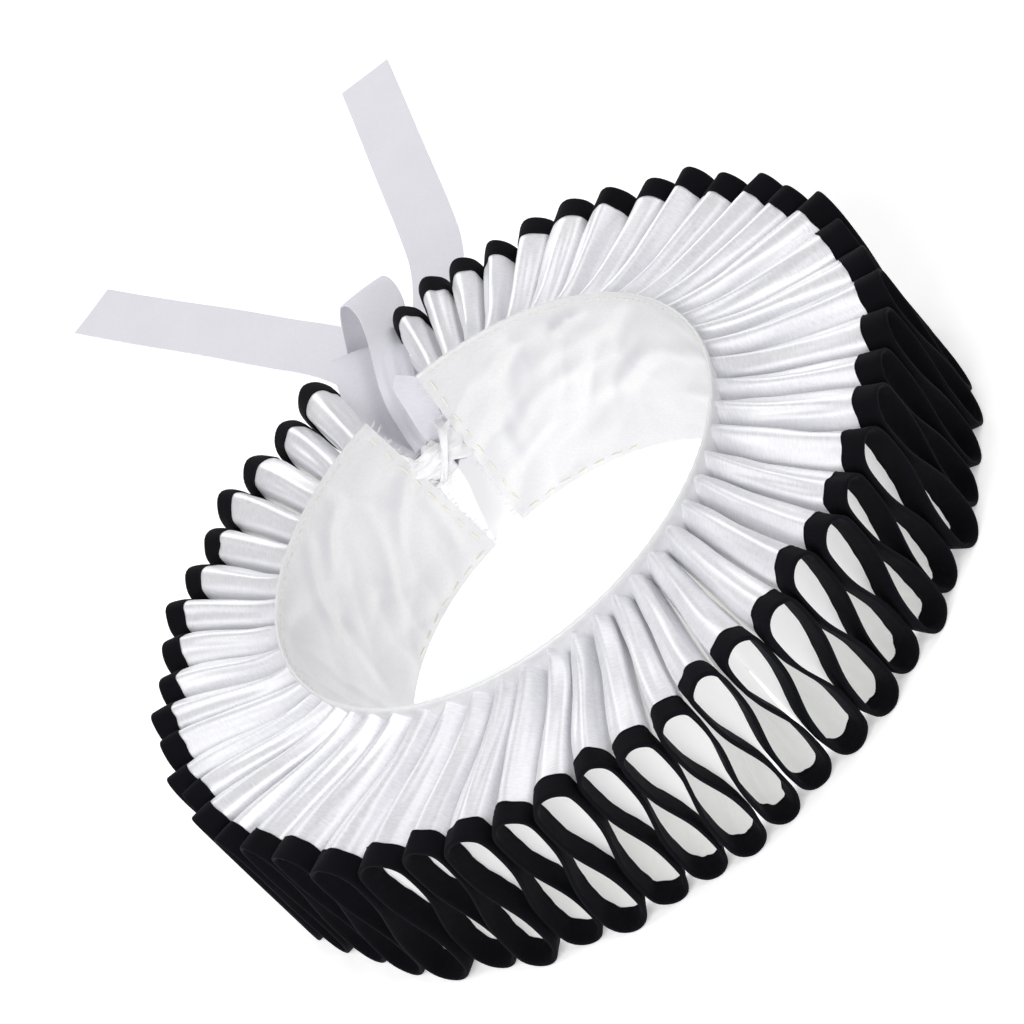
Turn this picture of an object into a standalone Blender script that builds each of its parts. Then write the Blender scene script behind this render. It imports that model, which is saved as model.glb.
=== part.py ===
"""A figure-eight ruff: a satin strip set in standing folds round a plain neckband,
bound in black along its outer edge, with ribbon ties tied in a bow at the back.

The ring's axis is vertical and the opening faces +Y. The ruff stands on its lower folds,
at height 0. A turn is an angle in degrees, clockwise from above, from the opening's middle.
"""
import math

import bmesh
import bpy
from mathutils import Matrix, Vector

MM = 0.001

# The ring. Its axis stands off the origin, because the tails lengthen the whole towards +Y.
RING_PLACE = Vector((-0.4 * MM, -143.4 * MM, 0.0))
RIM_RADIUS = 150 * MM
RUFF_HEIGHT = 66 * MM

# The neckband is a shallow cone, a little off the rim's centre, and its ends lean together.
BAND_HEIGHT = 71 * MM
BAND_FOOT = 0.3 * MM
BAND_WALL = 1.5 * MM
BAND_TOP_RADIUS = 88.6 * MM
BAND_FOOT_RADIUS = 80.5 * MM
BAND_X = -2.6 * MM
BAND_ENDS = {"foot": (3.3, 353.8), "top": (7.2, 351.5)}
BAND_STEP = 5.0

# The folded strip. A pleat is one top fold and one bottom fold.
PLEATS = 52
POINTS_A_PLEAT = 14
LENGTHS = 12
STRIP_WALL = 1.0 * MM
BINDING_WALL = 1.4 * MM
BINDING_WIDTH = 9 * MM
BINDING_GAP = 0.4 * MM
SEAM_GAP = 0.6 * MM
STRIP_MIDDLE = 0.45
CUT_STEP = 0.00075
RIM_BULGE = 0.31
SEAM_BULGE = 0.16
CURL = 1.7

# How far the folds fall short of the rim and the full height, and how that wanders.
REACH_UNEVEN = 1.6 * MM
REACH_WAVE = {"pace": 2.3, "wander": 1.4, "wander_pace": 0.6}
HEIGHT_UNEVEN = 1.3 * MM
HEIGHT_WAVE = {"pace": 1.9, "wander": 0.7, "wander_pace": 0.8}

# Where the folds stand along the strip, read every few pleats. The seam end of a fold
# lies at rim_turn less swirl.
FOLD_STATIONS = [
    {"pleat": 0, "rim_turn": 5.7, "swirl": -2.3},
    {"pleat": 4, "rim_turn": 28.0, "swirl": 0.0},
    {"pleat": 8, "rim_turn": 56.5, "swirl": 2.5},
    {"pleat": 12, "rim_turn": 84.8, "swirl": 6.5},
    {"pleat": 16, "rim_turn": 115.5, "swirl": 10.5},
    {"pleat": 20, "rim_turn": 143.8, "swirl": 9.5},
    {"pleat": 25, "rim_turn": 175.5, "swirl": 8.0},
    {"pleat": 29, "rim_turn": 198.5, "swirl": 8.5},
    {"pleat": 33, "rim_turn": 224.7, "swirl": 9.7},
    {"pleat": 37, "rim_turn": 255.8, "swirl": 11.5},
    {"pleat": 41, "rim_turn": 279.7, "swirl": 15.0},
    {"pleat": 45, "rim_turn": 307.6, "swirl": 12.0},
    {"pleat": 49, "rim_turn": 334.2, "swirl": 7.0},
    {"pleat": 52, "rim_turn": 354.3, "swirl": 3.5},
]

# The knot of the ties fills the gap between the band's ends.
KNOT_CENTRE = Vector((-4.1, 85.0, 37.0)) * MM
KNOT_RADII = Vector((9.3, 9.6, 10.8)) * MM
KNOT_SIDES = 14
KNOT_RINGS = 10

# Ribbons, from the knot outwards, in mm and degrees. swing turns the ribbon's width
# in plan, and tilt lifts its +X edge.
RIBBON_WALL = 1.0 * MM
RIBBON_STEPS = 2
RIBBON_COLUMNS = ("x", "y", "z", "width", "swing", "tilt")
RIBBONS = {
    "Bow_Loop_Left": [
        (-4.1, 93.7, 42.3, 13, 0, 0),
        (-3.5, 108, 50.5, 18, 0, 0),
        (-2, 122, 56.5, 21, 0, 0),
        (-1, 136, 60.5, 23, 0, 0),
        (0.5, 148, 62.3, 24, 0, 0),
        (1, 154.2, 61.3, 24, 0, 0),
        (1.2, 156.5, 58.8, 24, 0, 0),
        (1, 154.2, 56.2, 24, 0, 0),
        (0.5, 147, 54.6, 24, 0, 0),
        (-1, 134, 51.8, 22, 0, 0),
        (-2, 120, 48, 20, 0, 0),
        (-3.5, 107, 43.5, 17, 0, 0),
        (-4.1, 94.7, 39.7, 13, 0, 0),
    ],
    "Bow_Loop_Right": [
        (-4.1, 95.0, 37.1, 13, 0, 0),
        (-3.5, 108, 39, 17, 0, 0),
        (-2, 122, 41.5, 20, 0, 0),
        (-0.5, 136, 43.5, 22, 0, 0),
        (1.5, 147, 45, 23, -10, 0),
        (7, 156.5, 48, 24, -25, 0),
        (13, 163, 54, 25, -23, 0),
        (16.5, 166.5, 60.5, 25, -20, 0),
        (19, 171, 64.5, 25, -20, 0),
        (20.5, 175, 61, 25, -20, 0),
        (20, 175, 53, 25, -20, 0),
        (16, 171, 44, 25, -22, 0),
        (9, 162, 37.5, 25, -25, 0),
        (3, 150.5, 35, 23, -10, 0),
        (-0.5, 137, 34, 22, 0, 0),
        (-2, 122, 33.6, 20, 0, 0),
        (-3.5, 108, 33.8, 17, 0, 0),
        (-4.1, 94.8, 34.5, 13, 0, 0),
    ],
    "Tie_Tail_Left": [
        (-4.1, 94.0, 31.9, 13, 0, 0),
        (-3.5, 110, 27, 18, 0, 0),
        (-2, 128, 20, 21, 0, 0),
        (-0.5, 146, 13.5, 23, 0, 0),
        (1.5, 166, 8, 25, 0, 0),
        (3.5, 186, 4.6, 25, 0, 0),
        (3.5, 206, 3.0, 25, 3, 0),
        (1.5, 226, 1.9, 25, 8, 0),
        (-1.8, 246, 0.9, 25, 15, 0),
        (-7.5, 268, 0.5, 25, 20.7, 0),
        (-19.5, 300, 0.5, 25, 20.7, 0),
        (-39, 352, 0.5, 25, 20.7, 0),
        (-69, 432, 0.5, 25, 20.7, 0),
    ],
    "Tie_Tail_Right": [
        (-4.1, 92.3, 29.3, 13, 0, 0),
        (-3.5, 106, 21, 17, 0, 0),
        (-2, 121, 13.5, 20, 0, 0),
        (-0.5, 136, 7.5, 22, -5, 0),
        (2.5, 151, 3.2, 23, -15, 0),
        (8.5, 170, 1.0, 24, -24, 0),
        (19, 195, 0.5, 25, -27, 0),
        (35.5, 227, 0.5, 25, -24, 0),
        (51, 261, 0.5, 25, -16, 0),
        (60.4, 296, 0.5, 25, -12.6, 0),
        (73.5, 354, 0.5, 25, -12.6, 0),
        (88, 418, 0.5, 25, -12.6, 0),
    ],
}

SATIN = {"name": "Polyester satin", "color": (0.92, 0.92, 0.94), "roughness": 0.35}
BINDING = {"name": "Black cotton binding", "color": (0.008, 0.008, 0.010), "roughness": 0.85}
BAND = {"name": "White cotton sateen", "color": (0.88, 0.88, 0.89), "roughness": 0.6}
RIBBON = {"name": "Woven ribbon", "color": (0.78, 0.78, 0.84), "roughness": 0.7}


def mix(a, b, share):
    return a + (b - a) * share


def station_value(pleat, column):
    """The column's value at a place along the strip, straight between the stations."""
    for before, after in zip(FOLD_STATIONS, FOLD_STATIONS[1:]):
        if pleat <= after["pleat"] or after is FOLD_STATIONS[-1]:
            share = (pleat - before["pleat"]) / (after["pleat"] - before["pleat"])
            return mix(before[column], after[column], share)


def on_ring(turn, radius, height, centre_x=0.0):
    angle = math.radians(turn)
    return Vector((centre_x + radius * math.sin(angle), radius * math.cos(angle), height))


def band_radius(height):
    return mix(BAND_FOOT_RADIUS, BAND_TOP_RADIUS, height / BAND_HEIGHT)


def unevenness(along, pace, wander, wander_pace):
    """A share from 0 to 2 that drifts along the strip, so that no two folds are alike."""
    return 1 + math.sin(pace * along + wander * math.sin(wander_pace * along))


def fold_point(along, out, wall):
    """A point in the middle of the strip's wall.

    along counts pleats from the opening, and out runs from 0 at the seam to 1 at the rim.
    The sideways bulge is what turns a plain wave into a figure eight. The cosine is
    stretched so that the two points either side of a fold's top or bottom reach its full height
    or the floor, with a flat between them.
    """
    bulge = mix(SEAM_BULGE, RIM_BULGE, out)
    place = along + bulge * math.sin(4 * math.pi * along)
    lift = 0.5 * (1 - math.cos(2 * math.pi * along) / math.cos(math.pi / POINTS_A_PLEAT))
    sag = HEIGHT_UNEVEN * unevenness(along, **HEIGHT_WAVE) * out
    height = wall / 2 + (RUFF_HEIGHT - wall - sag) * lift
    rim_turn = station_value(place, "rim_turn")
    seam_turn = rim_turn - station_value(place, "swirl")
    turn = mix(seam_turn, rim_turn, 1 - (1 - out) ** CURL)
    seam_radius = band_radius(height) + BAND_WALL / 2 + SEAM_GAP
    reach = RIM_RADIUS - REACH_UNEVEN * unevenness(along, **REACH_WAVE)
    return on_ring(turn, mix(seam_radius, reach, out), height, BAND_X * (1 - out))


def add_material(piece, look):
    material = bpy.data.materials.get(look["name"]) or bpy.data.materials.new(look["name"])
    material.use_nodes = True
    shader = material.node_tree.nodes["Principled BSDF"]
    shader.inputs["Base Color"].default_value = (*look["color"], 1.0)
    shader.inputs["Roughness"].default_value = look["roughness"]
    shader.inputs["Metallic"].default_value = 0.0
    piece.data.materials.append(material)


def add_cloth(name, rows, wall, look):
    """A wall of cloth: an open sheet through rows of points, thickened evenly both ways."""
    shape = bmesh.new()
    sheet = [[shape.verts.new(point) for point in row] for row in rows]
    for row, following in zip(sheet, sheet[1:]):
        for i in range(len(row) - 1):
            shape.faces.new((row[i], following[i], following[i + 1], row[i + 1]))
    mesh = bpy.data.meshes.new(name)
    shape.to_mesh(mesh)
    shape.free()
    mesh.shade_smooth()
    piece = bpy.data.objects.new(name, mesh)
    thicken = piece.modifiers.new("Wall", "SOLIDIFY")
    thicken.thickness = wall
    thicken.offset = 0.0
    thicken.use_even_offset = True
    thicken.use_quality_normals = True
    add_material(piece, look)
    collection.objects.link(piece)
    piece.parent = ring
    return piece


def make_neckband():
    """The band's wall, from one end of the opening round to the other."""
    columns = round(360 / BAND_STEP)
    rows = []
    for column in range(columns + 1):
        share = column / columns
        row = []
        for level, height in (("foot", BAND_FOOT), ("top", BAND_HEIGHT)):
            turn = mix(*BAND_ENDS[level], share)
            row.append(on_ring(turn, band_radius(height), height, BAND_X))
        rows.append(row)
    return add_cloth("Neckband", rows, BAND_WALL, BAND)


def length_places(number):
    """The places along one length of the strip, from cut to cut.

    A length has four or five pleats, and its cuts are halfway up a fold's side. The first
    and last lengths end at the opening.
    """
    halfway_up = POINTS_A_PLEAT // 4
    first = round(number * PLEATS / LENGTHS) * POINTS_A_PLEAT + halfway_up
    last = round((number + 1) * PLEATS / LENGTHS) * POINTS_A_PLEAT + halfway_up
    if number == 0:
        first = 0
    if number == LENGTHS - 1:
        last = PLEATS * POINTS_A_PLEAT - 1
    places = [(i + 0.5) / POINTS_A_PLEAT for i in range(first, last + 1)]
    if number > 0:
        places[0] += CUT_STEP
    if number < LENGTHS - 1:
        places[-1] -= CUT_STEP
    return places


def make_ruff():
    """The satin strip and the binding on its outer edge, length by length."""
    strip_width = RIM_RADIUS - BAND_TOP_RADIUS - SEAM_GAP
    binding_starts = 1 - BINDING_WIDTH / strip_width
    half_gap = BINDING_GAP / 2 / strip_width
    for number in range(LENGTHS):
        places = length_places(number)
        for name, outs, wall, look in (
            ("Ruff_Length", (0.0, STRIP_MIDDLE, binding_starts - half_gap), STRIP_WALL, SATIN),
            ("Binding_Length", (binding_starts + half_gap, 1.0), BINDING_WALL, BINDING),
        ):
            rows = [[fold_point(along, out, wall) for out in outs] for along in places]
            add_cloth(f"{name}_{number + 1:02d}", rows, wall, look)


def smooth_rows(rows, steps):
    """The ribbon's rows with more between them, on a smooth curve through all of them."""
    ends = [rows[0], *rows, rows[-1]]
    smooth = []
    for a, b, c, d in zip(ends, ends[1:], ends[2:], ends[3:]):
        for step in range(steps):
            t = step / steps
            smooth.append([
                0.5 * (2 * q + (r - p) * t + (2 * p - 5 * q + 4 * r - s) * t ** 2
                       + (3 * q - p - 3 * r + s) * t ** 3)
                for p, q, r, s in zip(a, b, c, d)
            ])
    return [*smooth, list(rows[-1])]


def make_ribbon(name, rows):
    lowest = RIBBON_WALL / 2 / MM
    sections = []
    for row in smooth_rows(rows, RIBBON_STEPS):
        section = dict(zip(RIBBON_COLUMNS, row))
        centre = Vector((section["x"], section["y"], max(section["z"], lowest))) * MM
        swing, tilt = math.radians(section["swing"]), math.radians(section["tilt"])
        across = Vector((
            math.cos(swing) * math.cos(tilt), math.sin(swing) * math.cos(tilt), math.sin(tilt),
        ))
        half = across * section["width"] / 2 * MM
        sections.append([centre - half, centre + half])
    return add_cloth(name, sections, RIBBON_WALL, RIBBON)


def make_knot():
    bpy.ops.mesh.primitive_uv_sphere_add(
        segments=KNOT_SIDES, ring_count=KNOT_RINGS, radius=1.0)
    knot = bpy.context.object
    knot.name = "Tie_Knot"
    knot.data.name = "Tie_Knot"
    knot.data.transform(Matrix.Diagonal((*KNOT_RADII, 1.0)))
    knot.data.shade_smooth()
    add_material(knot, RIBBON)
    for holder in list(knot.users_collection):
        holder.objects.unlink(knot)
    collection.objects.link(knot)
    knot.parent = ring
    knot.location = KNOT_CENTRE
    return knot


for old in list(bpy.data.objects):
    bpy.data.objects.remove(old, do_unlink=True)
collection = bpy.data.collections.new("Ruffled collar")
bpy.context.scene.collection.children.link(collection)
ring = bpy.data.objects.new("Ring", None)
ring.location = RING_PLACE
collection.objects.link(ring)

make_neckband()
make_ruff()
make_knot()
for ribbon_name, ribbon_rows in RIBBONS.items():
    make_ribbon(ribbon_name, ribbon_rows)
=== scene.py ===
import math
import random

import bpy
import numpy as np
from mathutils import Matrix, Vector


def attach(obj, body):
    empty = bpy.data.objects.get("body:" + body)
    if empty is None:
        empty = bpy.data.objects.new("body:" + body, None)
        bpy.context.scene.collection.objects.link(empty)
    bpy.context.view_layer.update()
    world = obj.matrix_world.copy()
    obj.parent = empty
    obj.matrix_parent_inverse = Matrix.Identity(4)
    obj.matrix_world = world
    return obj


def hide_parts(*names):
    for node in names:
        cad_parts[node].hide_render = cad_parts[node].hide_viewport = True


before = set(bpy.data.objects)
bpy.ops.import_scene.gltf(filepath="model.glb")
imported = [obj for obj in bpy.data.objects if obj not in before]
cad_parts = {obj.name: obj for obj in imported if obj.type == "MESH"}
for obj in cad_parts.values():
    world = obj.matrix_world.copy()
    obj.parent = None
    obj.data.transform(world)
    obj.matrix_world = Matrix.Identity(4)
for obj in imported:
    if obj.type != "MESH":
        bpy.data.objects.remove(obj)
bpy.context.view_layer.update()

MM = 0.001

# Sizes of the ring, as the solids have them.
RING_PLACE = np.array((-0.4, -143.4, 0.0)) * MM
RIM_RADIUS = 150 * MM
RUFF_HEIGHT = 66 * MM
BAND_HEIGHT = 71 * MM
BAND_FOOT = 0.3 * MM
BAND_TOP_RADIUS = 88.6 * MM
BAND_FOOT_RADIUS = 80.5 * MM
BAND_X = -2.6 * MM
BAND_ENDS = {"foot": (3.3, 353.8), "top": (7.2, 351.5)}
SEAM_GAP = 0.6 * MM
SEWN_IN = 0.25 * MM
STRIP_WIDTH = RIM_RADIUS - BAND_TOP_RADIUS - SEAM_GAP

# The folded strip, as the solids have it.
PLEATS = 52
LENGTHS = 12
STRIP_END = 0.036
HALFWAY_UP = 0.25
CURL = 1.7
REACH_UNEVEN = 1.6 * MM
REACH_WAVE = {"pace": 2.3, "wander": 1.4, "wander_pace": 0.6}
HEIGHT_UNEVEN = 1.3 * MM
HEIGHT_WAVE = {"pace": 1.9, "wander": 0.7, "wander_pace": 0.8}
FOLD_STATIONS = {
    "pleat": (0, 4, 8, 12, 16, 20, 25, 29, 33, 37, 41, 45, 49, 52),
    "rim_turn": (5.7, 28.0, 56.5, 84.8, 115.5, 143.8, 175.5, 198.5, 224.7, 255.8, 279.7, 307.6, 334.2, 354.3),
    "swirl": (-2.3, 0.0, 2.5, 6.5, 10.5, 9.5, 8.0, 8.5, 9.7, 11.5, 15.0, 12.0, 7.0, 3.5),
}

# Thicknesses of the cloths, a little more than the real ones so that their edges show.
SATIN_THICK = 0.5 * MM
TAPE_THICK = 0.45 * MM
RIBBON_THICK = 0.5 * MM

# Neighbouring folds press flat against each other, this far apart at their middles.
BULGE = 0.36
SEAM_BULGE = 0.50
SATIN_APART = 0.8 * MM
TAPE_APART = 1.95 * MM

# Near the band each fold comes to a point and stands up to the band's edge. At the rim the caps
# at the back are pointed too. ROOF has how rounded a point is, and what brings its top back to 0.
SEAM_POINT = 4.2 * MM
SEAM_RISE = 3.4 * MM
RIM_POINT = 3.2 * MM
POINT_WIDTH = 0.065
ROOF = {"seam": (0.02, 0.141), "rim": (0.12, 0.346)}

# Columns of faces in a pleat, and rows from the seam to the rim, as shares of the way out.
SATIN_COLUMNS = 96
TAPE_COLUMNS = 72
SATIN_ROWS = (
    0.0, 0.018, 0.04, 0.07, 0.11, 0.16, 0.22, 0.29, 0.36, 0.43,
    0.5, 0.57, 0.64, 0.71, 0.78, 0.835, 0.87, 0.93, 0.985,
)
# Where the satin goes into the binding, and is pressed thin.
UNDER_BINDING = (0.855, 0.90)
# The depth of a fold, which gets a painted tint and a stronger painted glow for the light that comes through
# the cloth: below these heights up its side, from 0 to 1.
DEPTH_BELOW = 0.86
DEPTH_FADES = (0.76, 0.97)

# Soft creases that run out along a fold. beside is how far from the fold's crest at the rim,
# lean how much nearer to it they start, both in mm; starts and ends are shares of the way out.
CREASE_COLUMNS = ("beside", "lean", "starts", "ends", "depth", "width")
CREASES = (
    (-5.0, 1.5, 0.00, 0.90, 0.80, 1.8),
    (3.2, -1.0, 0.02, 0.80, -0.80, 1.6),
    (6.8, 0.5, 0.06, 1.00, 0.80, 2.0),
    (-1.8, 1.0, 0.00, 0.75, -0.75, 1.6),
    (-8.0, -1.0, 0.10, 1.00, 0.75, 2.0),
    (1.2, -1.5, 0.15, 1.00, 0.70, 1.7),
    (9.5, 1.0, 0.00, 0.85, -0.70, 2.0),
    (-3.6, -0.5, 0.20, 1.00, -0.70, 1.8),
    (4.8, 1.5, 0.00, 0.60, 0.85, 1.6),
    (-6.6, 0.5, 0.05, 0.95, -0.75, 1.8),
    (8.0, -1.5, 0.25, 1.00, -0.65, 1.8),
)
# Which creases each fold has, in turn round the ring.
FOLD_CREASES = (
    (0, 1, 2, 4), (3, 2, 9, 5), (0, 5, 6, 3), (8, 4, 7, 10), (1, 0, 10, 4), (2, 3, 4, 9),
    (5, 9, 8, 7), (6, 8, 7, 4), (1, 2, 4, 7), (4, 5, 3, 10), (0, 6, 5, 1),
)
WRINKLED = 1.5
CREASE_WIDENED = 1.2
# Creases draw together towards the seam, and fade this far from a crest, in mm along the cloth.
SEAM_FAN = 0.6
CREASE_FADES = (11.0, 18.0)

# Puckers of the gathering: their height and how far out they reach.
PUCKER = 0.16 * MM
PUCKER_REACH = 5 * MM
# About how much cloth a pleat takes, in mm.
PLEAT_CLOTH = 142

# Soft wrinkles in the neckband: place round the band in degrees, height and length in mm,
# lean from upright in degrees, how far they stand in, and their width in mm.
WRINKLE_COLUMNS = ("turn", "height", "length", "lean", "depth", "width", "bend")
BAND_WRINKLES = (
    (12, 54, 30, 62, 1.3, 3.0, 0.010),
    (46, 63, 18, 72, 2.0, 1.8, 0.010),
    (15, 34, 26, 20, -1.0, 3.2, 0.008),
    (19, 24, 40, 70, 1.0, 3.0, -0.004),
    (24, 50, 34, 38, -1.2, 4.0, 0.012),
    (28, 60, 26, 80, 1.2, 2.6, 0.010),
    (31, 40, 46, 74, 1.2, 3.2, 0.006),
    (38, 22, 36, 60, -1.0, 4.0, -0.006),
    (44, 54, 40, 80, 1.1, 3.4, 0.004),
    (52, 34, 44, 66, 1.0, 3.6, -0.005),
    (60, 56, 30, 50, -1.0, 3.4, 0.008),
    (66, 44, 38, 78, 1.0, 3.6, 0.005),
    (78, 26, 42, 84, 0.9, 3.4, 0.0),
    (88, 52, 44, 72, 0.9, 3.8, 0.004),
    (100, 34, 40, 80, -0.8, 4.0, -0.003),
    (113, 54, 46, 86, 0.8, 3.6, 0.003),
    (128, 30, 44, 78, 0.8, 4.0, 0.0),
    (146, 50, 40, 84, -0.8, 4.2, 0.004),
    (165, 34, 46, 80, 0.8, 3.8, -0.003),
    (184, 50, 42, 70, 0.8, 4.0, 0.003),
    (203, 32, 40, 76, -0.8, 4.2, 0.0),
    (222, 48, 46, 66, 0.9, 3.6, 0.003),
    (240, 30, 44, 80, 0.8, 3.8, -0.003),
    (256, 54, 40, 72, -0.8, 4.0, 0.004),
    (270, 34, 50, -12, 1.1, 2.4, -0.003),
    (279, 40, 52, -18, 0.9, 2.2, 0.004),
    (289, 30, 44, -10, 1.0, 2.6, 0.003),
    (297, 50, 34, -34, 1.1, 3.0, 0.006),
    (304, 28, 34, 24, -1.0, 3.6, -0.005),
    (311, 56, 30, 50, 1.4, 3.2, 0.010),
    (318, 42, 30, -48, -1.2, 3.4, -0.008),
    (325, 58, 30, 66, 1.4, 3.0, 0.010),
    (331, 34, 34, 36, 1.1, 3.2, -0.006),
    (337, 54, 28, -30, -1.2, 3.2, 0.010),
    (343, 40, 30, 56, 1.3, 3.0, 0.008),
    (348, 22, 26, 10, 0.9, 2.8, -0.006),
)

# The knot, and the ribbons from the knot outwards, in mm and degrees, as the solids have them.
# swing turns the ribbon's width in plan, and tilt lifts its +X edge.
KNOT_CENTRE = np.array((-6.5, 86.0, 40.0)) * MM
KNOT_RADII = np.array((9.3, 8.6, 10.8)) * MM
CORE_SHARE = 0.72
RIBBONS = {
    "Bow_Loop_Left": (
        (-5.5, 93.7, 41.5, 12, 0, -8),
        (-7.4, 103, 43.5, 16, 0, -12),
        (-8.6, 113, 46.5, 20, -5, -16),
        (-7.2, 126, 50.5, 23, -8, -18),
        (-3.2, 139, 54, 24, -10, -18),
        (1.2, 150, 56, 24, -12, -18),
        (2.6, 155.5, 54.5, 24, -12, -18),
        (2.6, 157, 51.5, 24, -12, -18),
        (1.8, 153, 49, 24, -12, -18),
        (0, 144, 47.8, 23, -8, -16),
        (-2, 130, 45.5, 21, -4, -10),
        (-3.5, 115, 42.5, 18, 0, -5),
        (-4.1, 103, 40.2, 14, 0, 0),
        (-4.1, 94.7, 38.4, 12, 0, 0),
    ),
    "Bow_Loop_Right": (
        (-4.1, 94, 43.5, 12, 0, 0),
        (-1.5, 104, 48.5, 14, 12, -8),
        (1.2, 115, 53, 17, 25, -14),
        (5.4, 127, 56, 20, 33, -19),
        (10.8, 139, 58, 23, 36, -22),
        (16, 150, 60.5, 25, 36, -23),
        (18.6, 158, 64, 25, 36, -23),
        (18.4, 165, 66, 25, 36, -23),
        (16, 172, 63.5, 25, 36, -23),
        (12, 175, 56, 25, 34, -20),
        (7.5, 173.5, 47, 25, 30, -14),
        (3.5, 166, 39.5, 24, 20, -8),
        (1, 154, 35.5, 23, 10, 0),
        (-0.5, 138, 34, 22, 0, 0),
        (-2, 122, 33.6, 20, 0, 0),
        (-3.5, 108, 33.8, 17, 0, 0),
        (-4.1, 94.8, 34.5, 13, 0, 0),
    ),
    "Tie_Tail_Left": (
        (-4.1, 94.0, 31.9, 13, 0, 0),
        (-3.5, 110, 27, 18, 0, 0),
        (-2, 128, 20, 21, 0, 0),
        (-0.5, 146, 13.5, 23, 0, 0),
        (1.5, 166, 8, 25, 0, 0),
        (3.5, 186, 4.6, 25, 0, 0),
        (3.5, 206, 3.0, 25, 3, 0),
        (1.5, 226, 1.9, 25, 8, 0),
        (-1.8, 246, 0.9, 25, 15, 0),
        (-7.5, 268, 0.5, 25, 20.7, 0),
        (-19.5, 300, 0.5, 25, 20.7, 0),
        (-39, 352, 0.5, 25, 20.7, 0),
        (-69, 432, 0.5, 25, 20.7, 0),
    ),
    "Tie_Tail_Right": (
        (-4.1, 92.3, 29.3, 13, 0, 0),
        (-3.5, 106, 23.6, 17, 0, 0),
        (-2, 121, 15.4, 20, 0, 0),
        (-0.5, 136, 7.5, 22, -5, 0),
        (2.5, 151, 3.2, 23, -15, 0),
        (8.5, 170, 1.0, 24, -24, 0),
        (19, 195, 0.5, 25, -27, 0),
        (35.5, 227, 0.5, 25, -24, 0),
        (51, 261, 0.5, 25, -16, 0),
        (60.4, 296, 0.5, 25, -12.6, 0),
        (73.5, 354, 0.5, 25, -12.6, 0),
        (88, 418, 0.5, 25, -12.6, 0),
    ),
}
RIBBON_FINE = 8
RIBBON_COLUMNS_ACROSS = 14
RIBBON_PLEAT = 0.6 * MM
RIBBON_CUP = 0.35 * MM

# The camera looks over the front of the ruff at its back opening, with the picture turned.
LENS = 137.16
PICTURE = 36.0
DISTANCE = 1.35
ELEVATION = 33.542
ROLL = -42.597
HEADING = 1.0
PICTURE_CENTRE = (-33.6 * MM, 35.9 * MM)


def mix(a, b, share):
    return a + (b - a) * share


def smooth_step(value, low, high):
    share = np.clip((value - low) / (high - low), 0.0, 1.0)
    return share * share * (3 - 2 * share)


def unit(vectors):
    return vectors / np.linalg.norm(vectors, axis=-1, keepdims=True)


# The shape of the folded strip.
def station_value(pleat, column):
    """The column's value at places along the strip, straight on beyond the two ends."""
    pleats, values = FOLD_STATIONS["pleat"], FOLD_STATIONS[column]
    first = (values[1] - values[0]) / (pleats[1] - pleats[0])
    last = (values[-1] - values[-2]) / (pleats[-1] - pleats[-2])
    before = np.minimum(pleat - pleats[0], 0.0) * first
    after = np.maximum(pleat - pleats[-1], 0.0) * last
    return np.interp(pleat, pleats, values) + before + after


def on_ring(turn, radius, height, centre_x=0.0):
    angle = np.radians(turn)
    across = centre_x + radius * np.sin(angle)
    return np.stack([across, radius * np.cos(angle), height + 0.0 * angle], axis=-1) + RING_PLACE


def band_radius(height):
    return mix(BAND_FOOT_RADIUS, BAND_TOP_RADIUS, height / BAND_HEIGHT)


def unevenness(along, pace, wander, wander_pace):
    return 1 + np.sin(pace * along + wander * np.sin(wander_pace * along))


def fold_trait(along, pace):
    """A value from -1 to 1 that differs from fold to fold."""
    return np.sin(np.round(2 * along) * pace)


def point_drop(along, out):
    """How far the cloth falls away beside a fold's crest, which comes to a soft point."""
    beside = np.abs(along - np.round(2 * along) / 2)
    apart = (beside / POINT_WIDTH) ** 2
    fade = smooth_step(0.25 - beside, 0.0, 0.12)
    falls = {}
    for place, (rounded, top) in ROOF.items():
        falls[place] = np.minimum((np.sqrt(apart + rounded) - top) * fade, 1.0)
    # The caps are pointed at the back and round at the front.
    back = 0.5 + 0.5 * np.cos(2 * math.pi * along / PLEATS)
    rim_point = RIM_POINT * (0.15 + 0.85 * back) * (0.75 + 0.25 * fold_trait(along, 2.1))
    return falls["seam"] * SEAM_POINT * (1 - out) ** 2 + falls["rim"] * rim_point * out ** 2


def pressed_place(along, out, radius):
    """Where round the ring a place on the strip lies, in pleats: the folds bulge until they meet."""
    middle = np.round(2 * along) / 2
    bulge = mix(SEAM_BULGE, BULGE, smooth_step(out, 0.0, 0.4))
    beside = along - middle + bulge * np.sin(4 * math.pi * along)
    before, after = (station_value(middle + step, "rim_turn") for step in (-0.5, 0.5))
    pitch = np.radians(after - before) * radius
    room = 0.5 - mix(SATIN_APART, TAPE_APART, smooth_step(out, 0.78, 0.86)) / 2 / pitch
    return middle + beside / (1 + np.abs(beside / room) ** 8) ** 0.125


def fold_point(along, out):
    """Points in the middle of the strip: along in pleats, out from 0 at the seam to 1 at the rim."""
    lift = 0.5 * (1 - np.cos(2 * math.pi * along))
    sag = HEIGHT_UNEVEN * unevenness(along, **HEIGHT_WAVE) * out
    wall = 1.4 * MM
    height = wall / 2 + (RUFF_HEIGHT - wall - sag) * lift
    height = height + np.cos(2 * math.pi * along) * point_drop(along, out)
    height = height + SEAM_RISE * np.clip(1 - out / 0.4, 0, None) ** 2 * lift ** 4
    seam_radius = band_radius(height) + SEWN_IN
    reach = RIM_RADIUS - REACH_UNEVEN * unevenness(along, **REACH_WAVE)
    radius = mix(seam_radius, reach, out)
    place = pressed_place(along, out, radius)
    rim_turn = station_value(place, "rim_turn")
    seam_turn = rim_turn - station_value(place, "swirl")
    turn = mix(seam_turn, rim_turn, 1 - (1 - out) ** CURL)
    return on_ring(turn, radius, height, BAND_X * (1 - out))


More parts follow.
